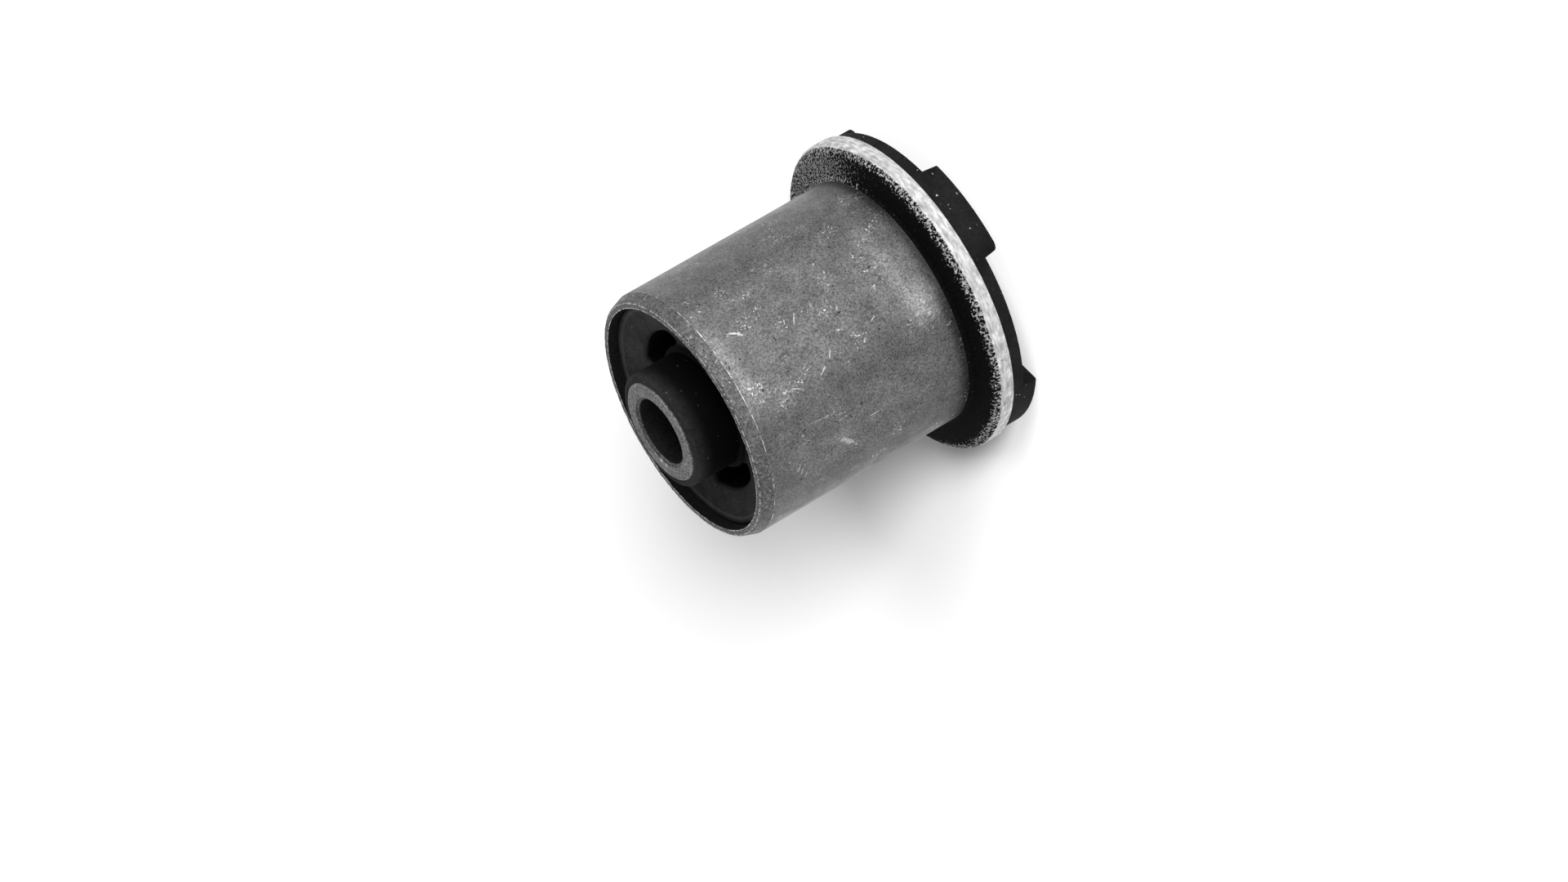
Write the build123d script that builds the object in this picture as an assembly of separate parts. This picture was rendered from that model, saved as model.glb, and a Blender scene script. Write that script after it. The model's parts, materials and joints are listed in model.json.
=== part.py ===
"""Flanged rubber metal bush for a vehicle's axle or control arm, standing on its flange end.

The axis is +Z and the origin is at the middle of the flange end of the inner sleeve. Three pieces
are bonded into one: a flanged outer sleeve, a thick inner sleeve for the bolt, and the rubber
between them, which also covers the back of the flange and carries four bumper pads there.
"""
from build123d import *
import os

# Inner sleeve
bolt_bore_diameter = 12.2
inner_sleeve_diameter = 18.5
stand_out_at_plain_end = 4.6
stand_out_beyond_pads = 0.95
bore_chamfer = 0.5
inner_sleeve_edge_chamfer = 0.3

# Outer sleeve
sleeve_diameter = 46.0
sleeve_wall = 2.0
sleeve_length = 48.0
lead_in_length = 2.3
lead_in_depth = 0.7
rim_edge_chamfer = 0.3

# Flange of the outer sleeve
flange_diameter = 58.6
flange_thickness = 4.1
flange_front_edge_radius = 1.9
flange_back_edge_chamfer = 0.3
flange_root_radius = 0.8
sleeve_back_bore_chamfer = 1.2

# Rubber boss round the inner sleeve
boss_wall = 1.35
boss_setback = 0.25
boss_lip_radius = 0.7
boss_root_chamfer = 0.5

# Rubber web at the plain end, sunk below the sleeve's rim
web_depth_at_wall = 2.0
web_depth_at_boss = 4.8
bead_width = 0.9
bead_height = 0.25

# Rubber disc and bumper pads behind the flange
disc_diameter = 57.2
disc_thickness = 2.7
disc_edge_radius = 0.4
well_edge_chamfer = 0.3
well_depth_at_wall = 1.6
well_depth_at_boss = 4.4
pad_count = 4
pad_height = 2.75
pad_span = 38.6
pad_width = 8.1
pad_setback_from_well = 1.5
pad_first_angle = 15.2
pad_draft = 8.0
pad_sharp_corner_radius = 0.4
pad_round_corner_radius = 1.5
pad_edge_radius = 0.3

# Voids through the rubber, one on each side of the boss, mirrored across the YZ plane
void_outer_diameter = 30.1
void_boss_ledge = 0.45
void_far_angle = 40.0
void_near_angle_at_boss = -11.0
void_near_angle_at_rim = -34.0
void_outer_corner_radius = 1.2
void_inner_corner_radius = 0.8
void_mouth_chamfer = 0.3

# The largest share of a void's width that one corner may take
corner_share = 0.45

# How near an edge must lie to the place where it is looked for
pick_tolerance = 0.01

# Radii and heights worked out from the values above
inner_sleeve_radius = inner_sleeve_diameter / 2
sleeve_radius = sleeve_diameter / 2
sleeve_bore_radius = sleeve_radius - sleeve_wall
boss_radius = inner_sleeve_radius + boss_wall
disc_radius = disc_diameter / 2
pad_inner_radius = disc_radius - pad_width
well_radius = pad_inner_radius - pad_setback_from_well
disc_back_height = stand_out_beyond_pads + pad_height
flange_back_height = disc_back_height + disc_thickness
flange_front_height = flange_back_height + flange_thickness
rim_height = flange_back_height + sleeve_length
inner_sleeve_length = rim_height + stand_out_at_plain_end


def turned(points):
    """A solid of revolution about +Z from a closed outline of (radius, height) points."""
    outline = Polyline([(radius, 0, height) for radius, height in points], close=True)
    return revolve(make_face(outline), Axis.Z, 360)


def ring_edges(solid, radius, height):
    """The circular edges of a turned solid at one radius and height."""
    circles = solid.edges().filter_by(GeomType.CIRCLE)
    return [
        edge
        for edge in circles
        if abs(edge.radius - radius) < pick_tolerance
        and abs(edge.arc_center.Z - height) < pick_tolerance
    ]


def finish_edges(solid, operation, places):
    """Fillets or chamfers circular edges, each given as a radius, a height and a size."""
    for radius, height, size in places:
        solid = operation(ring_edges(solid, radius, height), size)
    return solid


def make_inner_sleeve():
    """The thick tube that the bolt clamps, chamfered at both ends."""
    bore_radius = bolt_bore_diameter / 2
    sleeve = turned([
        (bore_radius, 0),
        (inner_sleeve_radius, 0),
        (inner_sleeve_radius, inner_sleeve_length),
        (bore_radius, inner_sleeve_length),
    ])
    return finish_edges(sleeve, chamfer, [
        (bore_radius, 0, bore_chamfer),
        (bore_radius, inner_sleeve_length, bore_chamfer),
        (inner_sleeve_radius, 0, inner_sleeve_edge_chamfer),
        (inner_sleeve_radius, inner_sleeve_length, inner_sleeve_edge_chamfer),
    ])


def make_outer_sleeve():
    """The pressed-in sleeve with its lead-in at the plain end and its flange in one piece."""
    flange_radius = flange_diameter / 2
    rim_radius = sleeve_radius - lead_in_depth
    sleeve = turned([
        (sleeve_bore_radius, flange_back_height),
        (flange_radius, flange_back_height),
        (flange_radius, flange_front_height),
        (sleeve_radius, flange_front_height),
        (sleeve_radius, rim_height - lead_in_length),
        (rim_radius, rim_height),
        (sleeve_bore_radius, rim_height),
    ])
    sleeve = finish_edges(sleeve, fillet, [
        (flange_radius, flange_front_height, flange_front_edge_radius),
        (sleeve_radius, flange_front_height, flange_root_radius),
    ])
    return finish_edges(sleeve, chamfer, [
        (flange_radius, flange_back_height, flange_back_edge_chamfer),
        (sleeve_bore_radius, flange_back_height, sleeve_back_bore_chamfer),
        (rim_radius, rim_height, rim_edge_chamfer),
    ])


def rubber_blank():
    """The rubber as turned: boss, sloping webs, disc behind the flange and a bead at the wall."""
    boss_top = inner_sleeve_length - boss_setback
    boss_bottom = boss_setback
    web_wall = rim_height - web_depth_at_wall
    web_root = rim_height - web_depth_at_boss
    well_wall = disc_back_height + well_depth_at_wall
    well_root = disc_back_height + well_depth_at_boss
    blank = turned([
        (inner_sleeve_radius, boss_bottom),
        (boss_radius, boss_bottom),
        (boss_radius, well_root),
        (well_radius, well_wall),
        (well_radius, disc_back_height),
        (disc_radius, disc_back_height),
        (disc_radius, flange_back_height),
        (sleeve_bore_radius, flange_back_height),
        (sleeve_bore_radius, web_wall),
        (sleeve_bore_radius - bead_width / 2, web_wall + bead_height),
        (sleeve_bore_radius - bead_width, web_wall),
        (boss_radius, web_root),
        (boss_radius, boss_top),
        (inner_sleeve_radius, boss_top),
    ])
    blank = finish_edges(blank, fillet, [
        (boss_radius, boss_top, boss_lip_radius),
        (boss_radius, boss_bottom, boss_lip_radius),
        (sleeve_bore_radius - bead_width / 2, web_wall + bead_height, bead_height),
        (disc_radius, disc_back_height, disc_edge_radius),
    ])
    return finish_edges(blank, chamfer, [
        (boss_radius, web_root, boss_root_chamfer),
        (boss_radius, well_root, boss_root_chamfer),
        (well_radius, disc_back_height, well_edge_chamfer),
    ])


def polar(radius, angle):
    """The point of the XY plane at a radius and an angle in degrees."""
    return Vector(radius, 0, 0).rotate(Axis.Z, angle)


def ring_sector(inner_radius, outer_radius, first_angle, last_angle, first_inner_angle=None):
    """A flat sector of a ring, whose first side may slant between two angles."""
    if first_inner_angle is None:
        first_inner_angle = first_angle
    outer_middle = (first_angle + last_angle) / 2
    inner_middle = (first_inner_angle + last_angle) / 2
    outer_start = polar(outer_radius, first_angle)
    outer_end = polar(outer_radius, last_angle)
    inner_start = polar(inner_radius, first_inner_angle)
    inner_end = polar(inner_radius, last_angle)
    outline = [
        ThreePointArc(outer_start, polar(outer_radius, outer_middle), outer_end),
        Line(outer_end, inner_end),
        ThreePointArc(inner_end, polar(inner_radius, inner_middle), inner_start),
        Line(inner_start, outer_start),
    ]
    return make_face(outline)


def corner(face, point):
    """The vertex of a flat face nearest to a point."""
    return face.vertices().sort_by_distance(point)[0]


def make_pad():
    """One bumper pad, square at one outer corner and round at the other, centred on +X."""
    half_span = pad_span / 2
    root_height = disc_back_height + disc_edge_radius
    pad_depth = pad_height + disc_edge_radius
    outline = ring_sector(pad_inner_radius, 2 * disc_radius, -half_span, half_span)
    for angle in (-half_span, half_span):
        outline = fillet(corner(outline, polar(pad_inner_radius, angle)), pad_round_corner_radius)
    pad = Pos(0, 0, root_height) * extrude(outline, -pad_depth, taper=pad_draft)
    pad = pad & Pos(0, 0, root_height) * Cylinder(disc_radius, 3 * pad_depth)
    for angle, rounding in ((-half_span, pad_round_corner_radius), (half_span, pad_sharp_corner_radius)):
        middle = polar(disc_radius, angle) + Vector(0, 0, root_height - pad_depth / 2)
        pad = fillet(pad.edges().sort_by_distance(middle)[0], rounding)
    return fillet(pad.faces().sort_by(Axis.Z)[0].edges(), pad_edge_radius)


def void_outline():
    """The outline of the curved slot on the +X side of the boss."""
    inner_radius = boss_radius + boss_root_chamfer + void_boss_ledge
    outer_radius = void_outer_diameter / 2
    largest_corner = corner_share * (outer_radius - inner_radius)
    outline = ring_sector(
        inner_radius, outer_radius, void_near_angle_at_rim, void_far_angle, void_near_angle_at_boss
    )
    corners = [
        (outer_radius, void_near_angle_at_rim, void_outer_corner_radius),
        (outer_radius, void_far_angle, void_outer_corner_radius),
        (inner_radius, void_near_angle_at_boss, void_inner_corner_radius),
        (inner_radius, void_far_angle, void_inner_corner_radius),
    ]
    for radius, angle, rounding in corners:
        point = polar(radius, angle)
        outline = fillet(corner(outline, point), min(rounding, largest_corner))
    return outline


def mouth_edges(solid, outline):
    """The edges at both mouths of a hole that was cut along +Z with a flat outline."""
    rim = outline.face().outer_wire()
    found = []
    for edge in solid.edges():
        middle = edge.position_at(0.5)
        on_rim = rim.distance_to(Vertex(middle.X, middle.Y, 0)) < pick_tolerance
        upright = abs(edge.tangent_at(0.5).Z) > 1 - pick_tolerance
        if on_rim and not upright:
            found.append(edge)
    return found


def make_rubber_body(outer_sleeve):
    """The one rubber moulding, bonded to both sleeves."""
    body = rubber_blank()
    outline = void_outline()
    for side in (outline, mirror(outline, Plane.YZ)):
        body = body - extrude(side, inner_sleeve_length, both=True)
        body = chamfer(mouth_edges(body, side), void_mouth_chamfer)
    pad = make_pad()
    for index in range(pad_count):
        angle = pad_first_angle + index * 360 / pad_count
        body = body + Rot(0, 0, angle) * pad
    return body - outer_sleeve


def main():
    os.makedirs("parts", exist_ok=True)
    outer_sleeve = make_outer_sleeve()
    parts = {
        "outer_sleeve": outer_sleeve,
        "inner_sleeve": make_inner_sleeve(),
        "rubber_body": make_rubber_body(outer_sleeve),
    }
    for name, shape in parts.items():
        export_step(shape, f"parts/{name}.step")
        print(name, round(shape.volume, 1), "mm3", shape.is_valid, len(shape.solids()))


main()
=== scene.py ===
"""Finish, light and camera for a flanged rubber metal bush that stands on its flange end."""
import json
import math
import bpy
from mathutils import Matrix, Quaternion, Vector, noise


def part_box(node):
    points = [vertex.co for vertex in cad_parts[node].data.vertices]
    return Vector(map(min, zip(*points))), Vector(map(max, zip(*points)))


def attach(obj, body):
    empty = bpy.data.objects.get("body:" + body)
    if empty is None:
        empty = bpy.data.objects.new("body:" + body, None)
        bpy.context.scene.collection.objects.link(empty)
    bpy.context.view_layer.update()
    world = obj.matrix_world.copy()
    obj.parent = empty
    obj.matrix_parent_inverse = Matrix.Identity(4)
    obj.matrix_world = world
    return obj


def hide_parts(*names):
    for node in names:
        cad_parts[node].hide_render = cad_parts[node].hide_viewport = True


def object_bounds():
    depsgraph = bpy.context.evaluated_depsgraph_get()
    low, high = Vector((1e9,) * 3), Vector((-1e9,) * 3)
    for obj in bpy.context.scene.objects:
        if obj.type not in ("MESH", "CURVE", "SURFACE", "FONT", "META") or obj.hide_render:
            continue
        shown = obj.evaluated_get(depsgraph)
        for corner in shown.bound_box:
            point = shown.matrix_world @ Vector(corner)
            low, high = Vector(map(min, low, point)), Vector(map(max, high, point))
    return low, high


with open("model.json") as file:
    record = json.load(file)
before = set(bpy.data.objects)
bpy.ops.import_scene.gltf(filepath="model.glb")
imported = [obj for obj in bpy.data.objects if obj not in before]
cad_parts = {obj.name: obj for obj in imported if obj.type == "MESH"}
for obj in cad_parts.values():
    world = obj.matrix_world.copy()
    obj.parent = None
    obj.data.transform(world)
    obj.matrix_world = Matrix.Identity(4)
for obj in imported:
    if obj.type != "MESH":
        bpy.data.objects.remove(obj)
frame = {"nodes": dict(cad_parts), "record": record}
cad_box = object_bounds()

MM = 0.001

# Sizes of the two sleeves, from the frame
mounts = {mount["name"]: mount for mount in frame["record"]["mounts"]}
barrel_radius = mounts["housing_seat"]["dims"]["r_mm"] * MM
bolt_bore_radius = mounts["bolt_bore"]["dims"]["r_mm"] * MM
flange_front = mounts["flange_front_face"]["pos_m"][2]
flange_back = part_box("outer_sleeve")[0].z
flange_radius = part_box("outer_sleeve")[1].x
rim_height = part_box("outer_sleeve")[1].z
inner_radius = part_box("inner_sleeve")[1].x
inner_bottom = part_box("inner_sleeve")[0].z
inner_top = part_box("inner_sleeve")[1].z

# Edges of the two sleeves, in metres
wall = 2.0 * MM
flange_edge_radius = 1.9 * MM
flange_root_radius = 0.8 * MM
flange_back_chamfer = 0.12 * MM
bore_back_chamfer = 1.2 * MM
lead_in_length = 2.3 * MM
lead_in_depth = 0.7 * MM
rim_chamfer = 0.3 * MM
bolt_bore_chamfer = 0.5 * MM
inner_edge_chamfer = 0.3 * MM

# Rubber at the plain end, in metres
boss_radius = 10.6 * MM
bead_radius = 20.0 * MM
web_depth_at_boss = 4.8 * MM
web_depth_at_bead = 2.0 * MM

# Meshes of the two sleeves: how many segments round, and the steps along their sections
outer_segments = 720
inner_segments = 480
arc_step = math.radians(6)
long_step = 6.0 * MM
barrel_step = 3.0 * MM
fine_step = 0.22 * MM
edge_step = 0.12 * MM
sharp_angle = math.radians(30)

# Roughness that is modelled on the blasted flange and the worn edges, in metres
blast_width = 2.6 * MM
blast_fade = 1.0 * MM
blast_depth = 0.07 * MM
blast_grain = 1.1 * MM
rim_wear_reach = 2 * rim_chamfer
rim_wear_depth = 0.09 * MM
rim_wear_grain = 0.9 * MM

# Greys of the surfaces, each from the darkest to the palest of its mottling
barrel_greys = (0.115, 0.14)
rim_greys = (0.090, 0.108)
silver_greys = (0.38, 0.60)
silver_grain_greys = (0.18, 0.42)
film_greys = (0.001, 0.006)
inner_greys = (0.085, 0.135)
# Black of the outer sleeve's mouth, and painted shade in the bolt bore
black_mouth_and_bore_shade_greys = (0.005, 0.014)
rubber_greys = (0.006, 0.012)

# Greys of the marks on them
scuff_grey = 0.68
worn_rim_grey = 0.65
nick_grey = 0.10
worn_inner_grey = 0.45
pit_grey = 0.010
rubber_speck_grey = 0.40
# Painted highlight on the rubber's bead, added to its grey
bead_highlight_gain = 0.018

# Widths of the worn and the dark lines along edges, in metres
lead_in_line = 0.30 * MM
rim_inner_line = 0.42 * MM
rim_outer_line = 0.36 * MM
inner_edge_line = 0.26 * MM
bore_mouth_line = 0.22 * MM

# Where one finish ends: the film's height on the root of the flange, the rim's depth into the mouth,
# and how far outside the bolt bore a face still counts as the bore's
film_height = 0.8 * flange_root_radius
rim_face_depth = 0.1 * MM
bore_slack = 0.1 * bolt_bore_chamfer

# Patches of the phosphated steel, and the shade on the barrel, which ends this far above the flange
patch_grain = 2.6 * MM
flange_shade_height = 3.2 * MM

# Silver and black film on the flange. A reach is the distance from the axis plus the drop from the
# flange's front. The film ends and the silver starts at one reach, and the grains thicken between two
silver_reach = flange_radius + 1.35 * MM
grains_start = silver_reach - 2.9 * MM
grains_end = silver_reach - 1.2 * MM
fraying = 1.2 * MM

# Side of the flange that is bare further in, which paints the sheen that side catches: where it fades in
# and out, in degrees, and by how much
painted_sheen_side_start = (-62, -8)
painted_sheen_side_end = (110, 155)
painted_sheen_side_shift = 1.2 * MM

# Side towards -X where the grains reach further in: cosines of its start and end, and by how much
grainy_side = (-0.84, -0.97)
grainy_side_shift = 1.0 * MM

# Camera, in degrees and metres
camera_azimuth = 0.895
camera_elevation = 22.236
camera_roll = -120.22
camera_distance = 1.19605
camera_target = (-0.01174, -0.00018, 0.04023)
camera_lens_mm = 162.74
camera_sensor_mm = 36.0
camera_near = 0.01
camera_far = 20.0

# Light, in degrees, metres and watts
lamp_distance = 0.9
key_azimuth = 18.0
key_elevation = 10.0
key_width = 1.6
key_height = 0.35
key_power = 7.5
fill_strength = 0.8

# Suns that light the floor alone and throw the shadow on it: azimuth, elevation and apparent size in
# degrees, and strength
floor_suns = (
    (7.0, 18.0, 13.0, 19.0),
    (24.0, 30.0, 20.0, 6.7),
)

# Floor
floor_size = 6.0
floor_grey = 0.30

# Pale scuffs on the barrel: azimuth from +X in degrees, height in millimetres, tilt from the arc in
# degrees, length and width in millimetres, and how strongly each shows
scuffs = (
    (-69.2, 47.2, 60, 2.4, 0.40, 0.7),
    (-71.0, 46.4, 48, 2.0, 0.35, 0.6),
    (-76.8, 36.9, 145, 1.8, 0.25, 0.5),
    (-93.0, 24.7, 114, 1.6, 0.22, 0.7),
    (-96.9, 34.6, 145, 1.8, 0.22, 0.7),
    (-101.5, 37.0, 125, 1.8, 0.25, 0.7),
    (-59.9, 27.9, 125, 1.2, 0.22, 0.6),
    (-90.0, 31.1, 70, 1.4, 0.20, 0.6),
    (-102.4, 42.8, 60, 1.8, 0.22, 0.6),
    (-119.7, 40.5, 84, 3.9, 0.22, 0.4),
    (-131.0, 30.2, 90, 2.5, 0.22, 0.5),
    (-137.6, 36.3, 44, 4.6, 1.00, 0.4),
    (-136.5, 46.6, 148, 1.9, 0.22, 0.5),
    (-139.5, 46.2, 148, 2.1, 0.22, 0.5),
    (-142.0, 45.4, 150, 1.6, 0.22, 0.4),
)

# Clusters of fine pale flecks on the barrel: azimuth in degrees, height and width in millimetres
clusters = (
    (-76.2, 39.1, 3.4),
    (-75.5, 34.0, 3.0),
    (-100.6, 42.4, 4.0),
    (-104.2, 45.2, 4.4),
    (-67.0, 20.9, 3.0),
    (-97.9, 28.9, 4.0),
    (-100.5, 15.9, 6.0),
    (-95.8, 49.3, 5.0),
)

# Broad soft patches on the barrel, partly mottling and partly painted light: the pale ones on the lit
# side, from about -102 to -54 degrees, paint its highlight, and the dark one at -168 degrees paints
# shade. Azimuth in degrees, height, width and length up the barrel in millimetres, and how much paler
# the middle is
patches_and_painted_light = (
    (-98.0, 15.4, 9.0, 7.0, 1.1),
    (-82.0, 17.0, 14.0, 4.0, 0.25),
    (-70.0, 17.8, 18.0, 4.5, 0.35),
    (-56.0, 17.5, 5.0, 5.0, 0.35),
    (-54.0, 38.0, 7.0, 34.0, 0.30),
    (-102.0, 45.5, 4.5, 8.0, 0.45),
    (-78.0, 51.0, 24.0, 3.5, 0.35),
    (-95.0, 50.0, 6.0, 6.0, 0.30),
    (-133.0, 37.5, 5.0, 6.0, 0.35),
    (-130.0, 47.0, 4.0, 9.0, 0.25),
    (-131.0, 28.0, 3.0, 12.0, 0.20),
    (-84.0, 24.0, 9.0, 4.0, -0.15),
    (-112.0, 28.0, 6.0, 22.0, -0.12),
    (-168.0, 22.0, 24.0, 66.0, -0.50),
)

# Pale flecks on the inner sleeve's end: azimuth in degrees, radius and size in millimetres, and
# how strongly each shows
flecks = (
    (127.0, 7.0, 1.1, 0.9),
    (139.0, 7.2, 0.8, 0.8),
    (114.0, 6.9, 0.6, 0.6),
    (-60.0, 8.1, 0.5, 0.3),
)


def around(azimuth, elevation, distance, centre):
    """A point at a distance from a centre. Azimuth 0 is towards -Y and 90 towards +X, in degrees."""
    turn = math.radians(azimuth)
    rise = math.radians(elevation)
    level = math.cos(rise)
    way = Vector((math.sin(turn) * level, -math.cos(turn) * level, math.sin(rise)))
    return Vector(centre) + way * distance


def added(name, data):
    """A new object in the scene."""
    thing = bpy.data.objects.new(name, data)
    bpy.context.scene.collection.objects.link(thing)
    return thing


def aimed(name, data, place, target):
    """A lamp or camera at a place, turned towards a target."""
    thing = added(name, data)
    thing.location = place
    thing.rotation_mode = "QUATERNION"
    thing.rotation_quaternion = (Vector(target) - place).to_track_quat("-Z", "Y")
    return thing


def empty_tree(owner):
    """The node tree of a material or a world, with nothing in it."""
    owner.use_nodes = True
    owner.node_tree.nodes.clear()
    return owner.node_tree


def arc(centre, radius, first, last, step):
    """Corners along an arc between two angles in degrees, with the step for the way on from its end."""
    sweep = math.radians(last - first)
    count = round(abs(sweep) / arc_step)
    corners = []
    for index in range(count + 1):
        angle = math.radians(first) + sweep * index / count
        point = Vector(centre) + radius * Vector((math.cos(angle), math.sin(angle)))
        corners.append((point, long_step if index < count else step))
    return corners


def divided(corners):
    """A closed section through (radius, height) corners, each with the step to the next corner."""
    section = []
    for index, (corner, step) in enumerate(corners):
        start = Vector(corner)
        end = Vector(corners[(index + 1) % len(corners)][0])
        count = max(1, round((end - start).length / step))
        section += [start.lerp(end, part / count) for part in range(count)]
    return section


def lathe(name, section, segments, wear):
    """A closed ring turned from a section. wear moves a point of it, given the azimuth."""
    vertices = []
    for index in range(segments):
        azimuth = 2 * math.pi * index / segments
        for point in section:
            radius, height = wear(point, azimuth)
            vertices.append((radius * math.cos(azimuth), radius * math.sin(azimuth), height))
    rows = len(section)
    faces = []
    for index in range(segments):
        here = index * rows
        there = (index + 1) % segments * rows
        for row in range(rows):
            after = (row + 1) % rows
            faces.append((here + row, there + row, there + after, here + after))
    mesh = bpy.data.meshes.new(name)
    mesh.from_pydata(vertices, [], faces)
    mesh.shade_smooth()
    mesh.set_sharp_from_angle(angle=sharp_angle)
    return added(name, mesh)


def roughness_at(point, azimuth, grain):
    """A smooth random value from 0 to 1 at a point of a turned surface."""
    radius, height = point
    place = Vector((radius * math.cos(azimuth), radius * math.sin(azimuth), height)) / grain
    value = noise.noise(place) + 0.5 * noise.noise(place * 2.7)
    return min(1.0, max(0.0, 0.5 + 0.6 * value))


def outer_section():
    """The outer sleeve's section, anticlockwise from the bore's back chamfer."""
    bore = barrel_radius - wall
    rim_outer = barrel_radius - lead_in_depth
    front_arc = (flange_radius - flange_edge_radius, flange_front - flange_edge_radius)
    root_arc = (barrel_radius + flange_root_radius, flange_front + flange_root_radius)
    return divided([
        ((bore, flange_back + bore_back_chamfer), long_step),
        ((bore + bore_back_chamfer, flange_back), barrel_step),
        ((flange_radius - flange_back_chamfer, flange_back), edge_step),
        ((flange_radius, flange_back + flange_back_chamfer), fine_step),
        *arc(front_arc, flange_edge_radius, 0, 90, fine_step),
        *arc(root_arc, flange_root_radius, 270, 180, barrel_step),
        ((barrel_radius, rim_height - lead_in_length), fine_step),
        ((rim_outer, rim_height - rim_chamfer), edge_step),
        ((rim_outer - rim_chamfer, rim_height), edge_step),
        ((bore, rim_height), fine_step),
        ((bore, rim_height - wall), long_step),
    ])


def outer_wear(point, azimuth):
    """Blasted roughness on the flange's rounded front and edge, and wear along the rim's two edges."""
    radius, height = point
    blast_start = flange_radius - blast_width
    if radius > blast_start and height > flange_back:
        share = min(1.0, (radius - blast_start) / blast_fade)
        depth = blast_depth * share * roughness_at(point, azimuth, blast_grain)
        middle = Vector((flange_radius - flange_edge_radius, flange_back + flange_edge_radius))
        point = point + (middle - point).normalized() * depth
    for edge in (barrel_radius - wall, barrel_radius - lead_in_depth - rim_chamfer):
        distance = (Vector((edge, rim_height)) - point).length
        if distance < rim_wear_reach:
            share = 1 - distance / rim_wear_reach
            worn = roughness_at(point, azimuth, rim_wear_grain)
            point = point - Vector((0, rim_wear_depth * share * worn * worn))
    return point


def inner_section():
    """The inner sleeve's section, anticlockwise from the bolt bore's lower chamfer."""
    bore = bolt_bore_radius
    return divided([
        ((bore, inner_bottom + bolt_bore_chamfer), fine_step),
        ((bore + bolt_bore_chamfer, inner_bottom), fine_step),
        ((inner_radius - inner_edge_chamfer, inner_bottom), edge_step),
        ((inner_radius, inner_bottom + inner_edge_chamfer), long_step),
        ((inner_radius, inner_top - inner_edge_chamfer), edge_step),
        ((inner_radius - inner_edge_chamfer, inner_top), edge_step),
        ((bore + bolt_bore_chamfer, inner_top), edge_step),
        ((bore, inner_top - bolt_bore_chamfer), long_step),
    ])


def inner_wear(point, azimuth):
    """Slight wear along the bolt bore's upper mouth."""
    distance = (Vector((bolt_bore_radius + bolt_bore_chamfer, inner_top)) - point).length
    if distance > bolt_bore_chamfer:
        return point
    share = 0.5 * (1 - distance / bolt_bore_chamfer)
    return point - Vector((0, rim_wear_depth * share * roughness_at(point, azimuth, rim_wear_grain)))


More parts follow.
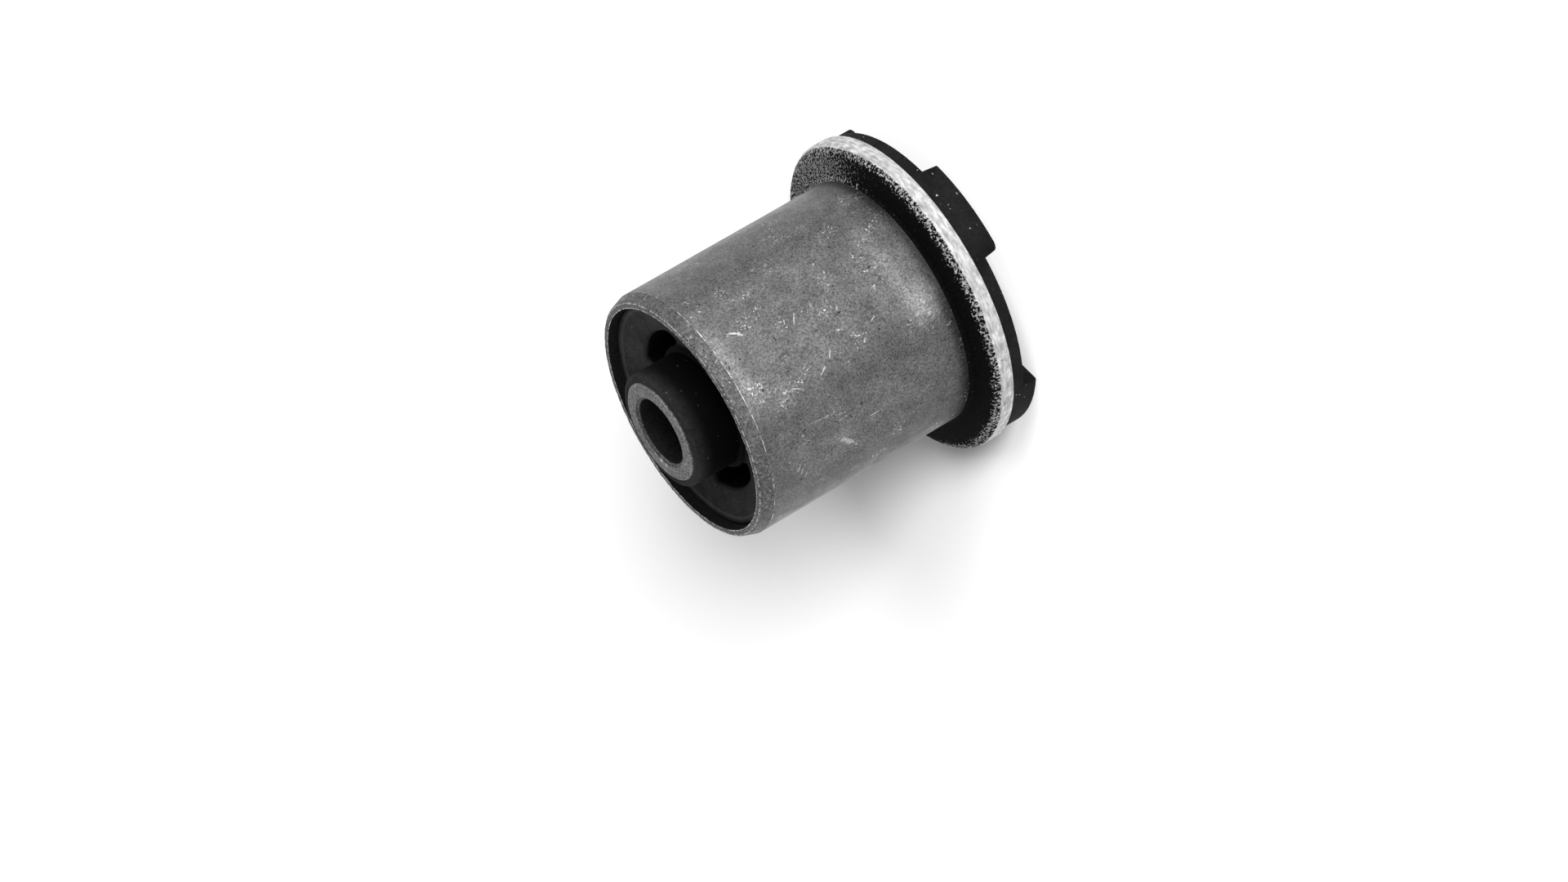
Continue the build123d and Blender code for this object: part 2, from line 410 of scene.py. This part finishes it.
class Look:
    """A material's node tree, with short calls for the nodes that the finishes are made of."""

    def __init__(self, name):
        self.material = bpy.data.materials.new(name)
        self.tree = empty_tree(self.material)
        self.output = self.add("ShaderNodeOutputMaterial")
        self.place = self.add("ShaderNodeTexCoord").outputs["Object"]
        split = self.add("ShaderNodeSeparateXYZ")
        self.link(split.inputs[0], self.place)
        self.x = split.outputs["X"]
        self.y = split.outputs["Y"]
        self.height = split.outputs["Z"]

    def add(self, kind, **values):
        node = self.tree.nodes.new(kind)
        for name, value in values.items():
            setattr(node, name, value)
        return node

    def link(self, socket, value):
        """Links a value if it is a socket, and otherwise sets it."""
        if isinstance(value, bpy.types.NodeSocket):
            self.tree.links.new(value, socket)
        elif value is not None:
            socket.default_value = value

    def math(self, operation, first, second=None):
        node = self.add("ShaderNodeMath", operation=operation)
        self.link(node.inputs[0], first)
        self.link(node.inputs[1], second)
        return node.outputs[0]

    def joined(self, operation, values):
        """One value from several, taken in turn."""
        result = values[0]
        for value in values[1:]:
            result = self.math(operation, result, value)
        return result

    def plus(self, *values):
        return self.joined("ADD", values)

    def minus(self, *values):
        return self.joined("SUBTRACT", values)

    def times(self, *values):
        return self.joined("MULTIPLY", values)

    def most(self, *values):
        return self.joined("MAXIMUM", values)

    def noise(self, grain, detail=3.0, rough=0.55, place=None):
        """Noise whose features are about a grain across, in metres."""
        node = self.add("ShaderNodeTexNoise")
        self.link(node.inputs["Vector"], place or self.place)
        node.inputs["Scale"].default_value = 1 / grain
        node.inputs["Detail"].default_value = detail
        node.inputs["Roughness"].default_value = rough
        return node.outputs["Fac"]

    def wander(self, span, grain, detail=3.0, rough=0.55):
        """Noise about zero, from minus half a span to plus half."""
        return self.times(self.minus(self.noise(grain, detail, rough), 0.5), span)

    def ramp(self, value, low, high, out_low=0.0, out_high=1.0, smooth=True):
        """Maps a value from one range to another, clamped."""
        node = self.add("ShaderNodeMapRange", interpolation_type="SMOOTHSTEP" if smooth else "LINEAR")
        self.link(node.inputs["Value"], value)
        self.link(node.inputs["From Min"], low)
        self.link(node.inputs["From Max"], high)
        self.link(node.inputs["To Min"], out_low)
        self.link(node.inputs["To Max"], out_high)
        return node.outputs["Result"]

    def band(self, value, middle, width):
        """One in the middle of a band and zero outside its width."""
        off = self.math("ABSOLUTE", self.minus(value, middle))
        return self.ramp(off, 0.25 * width, 0.5 * width, 1.0, 0.0)

    def mix(self, share, first, second):
        """Mixes two values."""
        node = self.add("ShaderNodeMix", data_type="FLOAT")
        self.link(node.inputs["Factor"], share)
        self.link(node.inputs["A"], first)
        self.link(node.inputs["B"], second)
        return node.outputs["Result"]

    def grey(self, value):
        node = self.add("ShaderNodeCombineColor")
        for socket in node.inputs:
            self.link(socket, value)
        return node.outputs[0]

    def stretched(self, x, y, z):
        """The object's coordinates, scaled by three factors."""
        node = self.add("ShaderNodeMapping")
        self.link(node.inputs["Vector"], self.place)
        node.inputs["Scale"].default_value = (x, y, z)
        return node.outputs["Vector"]

    def radius(self):
        """The distance from the axis."""
        return self.math("SQRT", self.plus(self.times(self.x, self.x), self.times(self.y, self.y)))

    def unrolled(self, radius):
        """The surface of a cylinder cut open at +Y and laid flat, as arc length from +X and height."""
        from_front = self.math("ARCTAN2", self.x, self.times(self.y, -1.0))
        angle = self.minus(from_front, math.pi / 2)
        node = self.add("ShaderNodeCombineXYZ")
        self.link(node.inputs["X"], self.times(angle, radius))
        self.link(node.inputs["Y"], self.height)
        return node.outputs[0]

    def turned(self, place, centre, tilt, size):
        """Coordinates about a centre on a flat surface, turned by a tilt and divided by a size."""
        node = self.add("ShaderNodeMapping", vector_type="TEXTURE")
        self.link(node.inputs["Vector"], place)
        node.inputs["Location"].default_value = (*centre, 0.0)
        node.inputs["Rotation"].default_value = (0.0, 0.0, math.radians(tilt))
        node.inputs["Scale"].default_value = (*size, 1.0)
        return node.outputs["Vector"]

    def apart(self, place, centre, tilt, length, width):
        """The distance from an oval's centre, one on its outline. Its sizes are in millimetres."""
        node = self.add("ShaderNodeVectorMath", operation="LENGTH")
        halves = (length * MM / 2, width * MM / 2)
        self.link(node.inputs[0], self.turned(place, centre, tilt, halves))
        return node.outputs["Value"]

    def fleck(self, apart, ragged, strength):
        """How pale a fleck is, with a ragged outline."""
        return self.times(self.ramp(self.plus(apart, ragged), 0.5, 1.1, 1.0, 0.0), strength)

    def bump(self, height, distance, strength):
        node = self.add("ShaderNodeBump")
        node.inputs["Distance"].default_value = distance
        node.inputs["Strength"].default_value = strength
        self.link(node.inputs["Height"], height)
        return node.outputs["Normal"]

    def finish(self, level, roughness, normal, metallic=0.0, specular=0.5, stretch=0.0):
        """A grey surface. Specular level and the highlight's stretch along the axis are constants."""
        shader = self.add("ShaderNodeBsdfPrincipled")
        self.link(shader.inputs["Base Color"], self.grey(level))
        self.link(shader.inputs["Roughness"], roughness)
        self.link(shader.inputs["Metallic"], metallic)
        self.link(shader.inputs["Normal"], normal)
        shader.inputs["Specular IOR Level"].default_value = specular
        if stretch:
            shader.inputs["Anisotropic"].default_value = stretch
            shader.inputs["Anisotropic Rotation"].default_value = 0.25
            round_axis = self.add("ShaderNodeTangent", direction_type="RADIAL", axis="Z")
            self.link(shader.inputs["Tangent"], round_axis.outputs["Tangent"])
        self.link(self.output.inputs["Surface"], shader.outputs[0])
        return self.material


def on_barrel(azimuth, height):
    """The place of an azimuth in degrees and a height in millimetres on the unrolled barrel."""
    return (math.radians(azimuth) * barrel_radius, height * MM)


def on_end(azimuth, radius):
    """The place of an azimuth in degrees and a radius in millimetres on an end face."""
    turn = math.radians(azimuth)
    return (radius * MM * math.cos(turn), radius * MM * math.sin(turn))


def pale_marks(look):
    """How pale the barrel is from fine specks, flecks and scuffs."""
    flat = look.unrolled(barrel_radius)
    busy = look.ramp(look.noise(5 * MM, 3.0, 0.6), 0.50, 0.72)
    for azimuth, height, width in clusters:
        apart = look.apart(flat, on_barrel(azimuth, height), 0, width, width)
        busy = look.most(busy, look.ramp(apart, 0.3, 1.2, 1.0, 0.0))
    specks = look.ramp(look.noise(0.40 * MM, 1.0, 0.5), 0.60, 0.74)
    upright = look.stretched(1.0, 1.0, 0.3)
    slanted = look.turned(flat, (0, 0), -35, (3.5, 1.0))
    for place in (upright, slanted):
        streaks = look.ramp(look.noise(0.36 * MM, 2.0, 0.5, place), 0.63, 0.76)
        specks = look.most(specks, streaks)
    pale = look.times(specks, look.ramp(busy, 0.0, 1.0, 0.05, 0.85))
    ragged = look.wander(3.2, 0.5 * MM, 2.0, 0.6)
    for azimuth, height, tilt, length, width, strength in scuffs:
        apart = look.apart(flat, on_barrel(azimuth, height), tilt, length, width)
        pale = look.most(pale, look.fleck(apart, ragged, strength))
    return pale


def phosphated(look, greys):
    """The level of dull grey steel: mottled in two sizes, and grained."""
    broad = look.noise(11 * MM, 2.0, 0.5)
    patch = look.noise(patch_grain, 4.0, 0.6)
    grain = look.noise(0.34 * MM, 2.0, 0.8)
    level = look.mix(look.ramp(broad, 0.3, 0.7), *greys)
    level = look.times(level, look.ramp(patch, 0.3, 0.72, 0.88, 1.15))
    return look.times(level, look.ramp(grain, 0.25, 0.75, 0.45, 1.6))


def sleeve_steel():
    """The barrel's dull steel: mottled and speckled, dark by the flange, worn bright at the lead-in."""
    look = Look("sleeve_steel")
    level = phosphated(look, barrel_greys)
    flat = look.unrolled(barrel_radius)
    # Broad patches: mottling, with a painted highlight on the lit side and painted shade low at -168
    # degrees
    for azimuth, height, across, along, gain in patches_and_painted_light:
        apart = look.apart(flat, on_barrel(azimuth, height), 0, across, along)
        level = look.times(level, look.ramp(apart, 0.0, 1.3, 1.0 + gain, 1.0))
    # Shade above the flange, and a few dark dots
    shade_start = flange_front + flange_root_radius
    shade_end = flange_front + flange_shade_height
    level = look.times(level, look.ramp(look.height, shade_start, shade_end, 0.35, 1.0))
    dots = look.ramp(look.noise(0.7 * MM, 0.0, 0.5), 0.80, 0.84)
    level = look.times(level, look.ramp(dots, 0.0, 1.0, 1.0, 0.25))
    # A broken bright line where the lead-in starts
    wavy_height = look.plus(look.height, look.wander(0.25 * MM, 1.5 * MM))
    line = look.band(wavy_height, rim_height - lead_in_length, lead_in_line)
    broken = look.ramp(look.noise(3.0 * MM, 6.0, 0.8), 0.46, 0.60)
    pale = look.most(pale_marks(look), look.times(line, broken, 0.85))
    rough = look.ramp(look.noise(patch_grain, 4.0, 0.6), 0.3, 0.7, 0.50, 0.42)
    normal = look.bump(look.noise(0.35 * MM, 3.0, 0.7), 0.03 * MM, 0.5)
    return look.finish(look.mix(pale, level, scuff_grey), rough, normal, metallic=0.9, stretch=0.7)


def rim_steel():
    """The lead-in and the rim: darker and granular, with worn bright edges and a dark mouth."""
    look = Look("rim_steel")
    radius = look.radius()
    bore = barrel_radius - wall
    coarse = look.noise(0.6 * MM, 2.0, 0.7)
    level = look.times(phosphated(look, rim_greys), look.ramp(coarse, 0.3, 0.7, 0.65, 1.30))
    on_rim = look.ramp(look.height, rim_height - 0.2 * MM, rim_height - 0.05 * MM)
    level = look.times(level, look.mix(on_rim, 1.0, 0.9))
    # Worn edges and pale specks
    inner_edge = look.band(radius, bore, rim_inner_line)
    outer_edge = look.band(radius, barrel_radius - lead_in_depth - rim_chamfer, rim_outer_line)
    edges = look.most(inner_edge, look.times(outer_edge, 0.5))
    worn = look.ramp(look.noise(0.6 * MM, 3.0, 0.7), 0.44, 0.56)
    specks = look.times(look.ramp(look.noise(0.42 * MM, 1.0, 0.5), 0.66, 0.78), 0.5)
    pale = look.most(look.times(on_rim, edges, worn), specks)
    level = look.mix(pale, level, worn_rim_grey)
    level = look.times(level, look.ramp(radius, bore, bore + 0.1 * MM, 0.25, 1.0))
    normal = look.bump(look.noise(0.5 * MM, 3.0, 0.7), 0.06 * MM, 0.7)
    return look.finish(level, 0.55, normal, metallic=0.7, specular=0.3)


def flange_steel():
    """Blasted silver edge with a black film inside it, and grains of both where they meet."""
    look = Look("flange_steel")
    radius = look.radius()
    drop = look.minus(flange_front, look.height)
    reach = look.plus(radius, drop, look.wander(0.6 * MM, 2.5 * MM))
    # The side towards +X and +Y is bare further in, with more grains: a painted sheen on that side
    azimuth = look.math("ARCTAN2", look.y, look.x)
    entered = look.ramp(azimuth, *map(math.radians, painted_sheen_side_start))
    stayed = look.ramp(azimuth, *map(math.radians, painted_sheen_side_end), 1.0, 0.0)
    painted_sheen_side = look.times(entered, stayed)
    reach = look.plus(reach, look.times(painted_sheen_side, painted_sheen_side_shift))
    # Grains, thicker towards the silver edge, and further in towards -X
    grain = look.noise(0.42 * MM, 2.0, 0.6)
    grainy = look.ramp(look.math("DIVIDE", look.x, radius), *grainy_side)
    grained = look.plus(reach, look.times(grainy, grainy_side_shift))
    needed = look.ramp(grained, grains_start, grains_end, 0.74, 0.51, smooth=False)
    needed = look.math("MINIMUM", needed, look.mix(painted_sheen_side, 0.78, 0.50))
    grains = look.ramp(look.minus(grain, needed), -0.04, 0.06)
    frayed = look.plus(reach, look.wander(fraying, 0.5 * MM, 2.0, 0.7))
    silvered = look.ramp(frayed, silver_reach - 0.1 * MM, silver_reach + 0.1 * MM)
    bare = look.most(silvered, grains)
    # Silver, mottled and streaked along the edge
    mottle = look.noise(1.8 * MM, 4.0, 0.6)
    along_edge = look.turned(look.unrolled(flange_radius), (0, 0), 0, (4.0, 1.0))
    streaks = look.noise(0.5 * MM, 3.0, 0.6, along_edge)
    nicks = look.ramp(look.noise(0.8 * MM, 2.0, 0.5), 0.70, 0.76)
    silver = look.ramp(mottle, 0.3, 0.7, *silver_greys)
    silver = look.times(silver, look.ramp(streaks, 0.3, 0.7, 0.66, 1.24))
    silver = look.mix(look.times(nicks, 0.7), silver, nick_grey)
    silver = look.mix(silvered, look.ramp(streaks, 0.3, 0.7, *silver_grain_greys), silver)
    film = look.ramp(look.noise(0.5 * MM, 2.0, 0.7), 0.3, 0.8, *film_greys)
    level = look.mix(bare, film, silver)
    rough = look.mix(bare, 0.8, 0.65)
    normal = look.bump(look.noise(0.3 * MM, 3.0, 0.7), 0.05 * MM, 0.7)
    return look.finish(level, rough, normal, metallic=look.times(silvered, 0.3), specular=0.04)


def inner_steel():
    """Dark phosphated steel, pitted, with pale flecks, a bright outer edge and a dark mouth."""
    look = Look("inner_steel")
    radius = look.radius()
    mottle = look.noise(2.5 * MM, 4.0, 0.6)
    grain = look.noise(0.5 * MM, 3.0, 0.7)
    pits = look.ramp(look.noise(0.7 * MM, 2.0, 0.5), 0.59, 0.66)
    level = look.ramp(mottle, 0.3, 0.7, *inner_greys)
    level = look.times(level, look.ramp(grain, 0.3, 0.7, 0.25, 1.8))
    level = look.mix(look.times(pits, 0.8), level, pit_grey)
    # Worn edge and flecks
    worn = look.ramp(look.noise(0.8 * MM, 3.0, 0.6), 0.4, 0.6, 0.2, 1.0)
    edge = look.band(radius, inner_radius - inner_edge_chamfer, inner_edge_line)
    pale = look.times(edge, worn, 0.25)
    end_face = look.stretched(1.0, 1.0, 0.0)
    ragged = look.wander(1.6, 0.4 * MM, 2.0, 0.6)
    for azimuth, out, size, strength in flecks:
        apart = look.apart(end_face, on_end(azimuth, out), 0, size, size)
        pale = look.most(pale, look.fleck(apart, ragged, strength))
    level = look.mix(pale, level, worn_inner_grey)
    # The bolt bore's mouth
    mouth = bolt_bore_radius + bolt_bore_chamfer
    level = look.times(level, look.ramp(radius, mouth - 0.02 * MM, mouth + 0.02 * MM, 0.6, 1.0))
    mouth_line = look.band(radius, mouth, bore_mouth_line)
    level = look.times(level, look.ramp(mouth_line, 0.0, 1.0, 1.0, 0.4))
    normal = look.bump(look.minus(grain, pits), 0.04 * MM, 0.6)
    return look.finish(level, 0.5, normal, metallic=0.7)


def black_steel():
    """Black inside the outer sleeve's mouth, and painted shade in the bolt bore, which is coloured
    black.
    """
    look = Look("black_steel")
    level = look.ramp(look.noise(0.5 * MM, 3.0, 0.6), 0.3, 0.7, *black_mouth_and_bore_shade_greys)
    return look.finish(level, 0.6, look.bump(look.noise(0.3 * MM), 0.02 * MM, 0.5), specular=0.1)


def moulded_rubber():
    """Matte black rubber with a few tiny pale specks. At the plain end it has painted shade in its
    recesses, and painted sheen and highlight on the boss top, the web and the bead.
    """
    look = Look("moulded_rubber")
    radius = look.radius()
    bloom = look.noise(5 * MM, 3.0, 0.6)
    grain = look.noise(0.5 * MM, 4.0, 0.6)
    level = look.ramp(bloom, 0.3, 0.7, *rubber_greys)
    level = look.times(level, look.ramp(grain, 0.3, 0.7, 0.75, 1.3))
    # At the plain end the boss has painted shade towards its root and a painted sheen towards its top,
    # and the web has a painted sheen, stronger towards +X
    plain_end = look.ramp(look.height, flange_front, flange_front + MM)
    boss_shade_and_sheen = look.ramp(look.height, rim_height + 0.6 * MM, inner_top - 0.2 * MM, 0.1, 1.8)
    web_sheen = look.ramp(look.x, -8 * MM, 14 * MM, 1.7, 3.2)
    on_web = look.ramp(radius, boss_radius + 1.2 * MM, boss_radius + 2.6 * MM)
    level = look.times(level, look.mix(plain_end, 1.0, look.mix(on_web, boss_shade_and_sheen, web_sheen)))
    # Painted shade: the gap outside the bead is darkened
    gap_shade = look.times(plain_end, look.ramp(radius, bead_radius + 0.1 * MM, bead_radius + 0.6 * MM))
    level = look.times(level, look.mix(gap_shade, 1.0, 0.2))
    # Painted shade: the walls of the voids are darkened from just below the sloping web
    slope = (web_depth_at_boss - web_depth_at_bead) / (bead_radius - boss_radius)
    sunk = look.minus(look.height, look.times(look.minus(radius, boss_radius), slope))
    web_root = rim_height - web_depth_at_boss
    void_shade = look.ramp(sunk, web_root - 0.9 * MM, web_root - 0.3 * MM, 1.0, 0.0)
    level = look.times(level, look.mix(look.times(plain_end, void_shade), 1.0, 0.08))
    # The bead carries a painted highlight, and the specks are paler
    bead_highlight = look.times(plain_end, look.band(radius, bead_radius - 0.2 * MM, 0.7 * MM))
    level = look.plus(level, look.times(bead_highlight, bead_highlight_gain))
    specks = look.ramp(look.noise(0.5 * MM, 0.0, 0.5), 0.81, 0.86)
    specks = look.times(specks, look.mix(plain_end, 1.0, 0.12))
    level = look.mix(specks, level, rubber_speck_grey)
    return look.finish(level, 0.75, look.bump(grain, 0.02 * MM, 0.5), specular=0.06)


def seen_white(tree):
    """A value that is one for camera, glossy and transmission rays, and zero for the light's own."""
    path = tree.nodes.new("ShaderNodeLightPath")
    seen = path.outputs["Is Camera Ray"]
    for other in ("Is Glossy Ray", "Is Transmission Ray"):
        either = tree.nodes.new("ShaderNodeMath")
        either.operation = "MAXIMUM"
        tree.links.new(seen, either.inputs[0])
        tree.links.new(path.outputs[other], either.inputs[1])
        seen = either.outputs[0]
    return seen


def make_floor():
    """The pale floor."""
    mesh = bpy.data.meshes.new("floor")
    half = floor_size / 2
    corners = [(-half, -half, 0.0), (half, -half, 0.0), (half, half, 0.0), (-half, half, 0.0)]
    mesh.from_pydata(corners, [], [(0, 1, 2, 3)])
    material = bpy.data.materials.new("floor_matte")
    tree = empty_tree(material)
    matte = tree.nodes.new("ShaderNodeBsdfDiffuse")
    matte.inputs["Color"].default_value = (floor_grey, floor_grey, floor_grey, 1.0)
    output = tree.nodes.new("ShaderNodeOutputMaterial")
    tree.links.new(matte.outputs[0], output.inputs["Surface"])
    mesh.materials.append(material)
    floor = added("floor", mesh)
    return floor


def make_floor_suns(floor, sleeve):
    """Suns that light the floor alone, in the shadow of the outer sleeve."""
    lit = bpy.data.collections.new("floor_suns_lit")
    lit.objects.link(floor)
    shading = bpy.data.collections.new("floor_suns_shading")
    shading.objects.link(sleeve)
    centre = (0, 0, 0)
    for azimuth, elevation, apparent_size, strength in floor_suns:
        lamp = bpy.data.lights.new("floor_sun", "SUN")
        lamp.energy = strength
        lamp.angle = math.radians(apparent_size)
        sun = aimed("floor_sun", lamp, around(azimuth, elevation, lamp_distance, centre), centre)
        sun.light_linking.receiver_collection = lit
        sun.light_linking.blocker_collection = shading


def make_world():
    """White to the camera and in reflections, and a softer level as the light on matte surfaces."""
    world = bpy.data.worlds.new("studio")
    bpy.context.scene.world = world
    tree = empty_tree(world)
    output = tree.nodes.new("ShaderNodeOutputWorld")
    background = tree.nodes.new("ShaderNodeBackground")
    background.inputs["Color"].default_value = (1.0, 1.0, 1.0, 1.0)
    level = tree.nodes.new("ShaderNodeMapRange")
    level.inputs["To Min"].default_value = fill_strength
    level.inputs["To Max"].default_value = 1.0
    tree.links.new(seen_white(tree), level.inputs["Value"])
    tree.links.new(level.outputs["Result"], background.inputs["Strength"])
    tree.links.new(background.outputs[0], output.inputs["Surface"])


def make_key():
    """One large soft lamp."""
    centre = (cad_box[0] + cad_box[1]) / 2
    lamp = bpy.data.lights.new("key", "AREA")
    lamp.shape = "RECTANGLE"
    lamp.size = key_width
    lamp.size_y = key_height
    lamp.energy = key_power
    aimed("key", lamp, around(key_azimuth, key_elevation, lamp_distance, centre), centre)


def make_camera():
    """The photograph's view, rolled so that the standing bush lies as it does there."""
    camera = bpy.data.cameras.new("camera")
    camera.lens = camera_lens_mm
    camera.sensor_width = camera_sensor_mm
    camera.clip_start = camera_near
    camera.clip_end = camera_far
    place = around(camera_azimuth, camera_elevation, camera_distance, camera_target)
    thing = aimed("camera", camera, place, camera_target)
    roll = Quaternion((0, 0, 1), math.radians(camera_roll))
    thing.rotation_quaternion = thing.rotation_quaternion @ roll
    bpy.context.scene.camera = thing


def make_outer_sleeve():
    """The outer sleeve with its flange, in four finishes."""
    piece = lathe("outer_sleeve_turned", outer_section(), outer_segments, outer_wear)
    finishes = (sleeve_steel, flange_steel, rim_steel, black_steel)
    for finish in finishes:
        piece.data.materials.append(finish())
    film_top = flange_front + film_height
    lead_in_start = rim_height - lead_in_length
    mouth_top = rim_height - rim_face_depth
    mouth_radius = barrel_radius - wall / 2
    for face in piece.data.polygons:
        radius = face.center.xy.length
        height = face.center.z
        finish = sleeve_steel
        if height < film_top:
            finish = flange_steel
        elif height < mouth_top and radius < mouth_radius:
            finish = black_steel
        elif height > lead_in_start:
            finish = rim_steel
        face.material_index = finishes.index(finish)
    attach(piece, "root")
    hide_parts("outer_sleeve")
    return piece


def make_inner_sleeve():
    """The inner sleeve, with painted shade in its bore, which is coloured black."""
    piece = lathe("inner_sleeve_turned", inner_section(), inner_segments, inner_wear)
    finishes = (inner_steel, black_steel)
    for finish in finishes:
        piece.data.materials.append(finish())
    for face in piece.data.polygons:
        finish = inner_steel
        # Painted shade: the bolt bore gets the black finish
        if face.center.xy.length < bolt_bore_radius + bore_slack:
            finish = black_steel
        face.material_index = finishes.index(finish)
    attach(piece, "root")
    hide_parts("inner_sleeve")


def dress_rubber():
    """The rubber keeps its solid's shape and gets its finish."""
    rubber = frame["nodes"]["rubber_body"]
    rubber.data.materials.clear()
    rubber.data.materials.append(moulded_rubber())


make_camera()
make_world()
floor = make_floor()
make_key()
sleeve = make_outer_sleeve()
make_floor_suns(floor, sleeve)
make_inner_sleeve()
dress_rubber()
bpy.context.scene.view_settings.view_transform = "Standard"
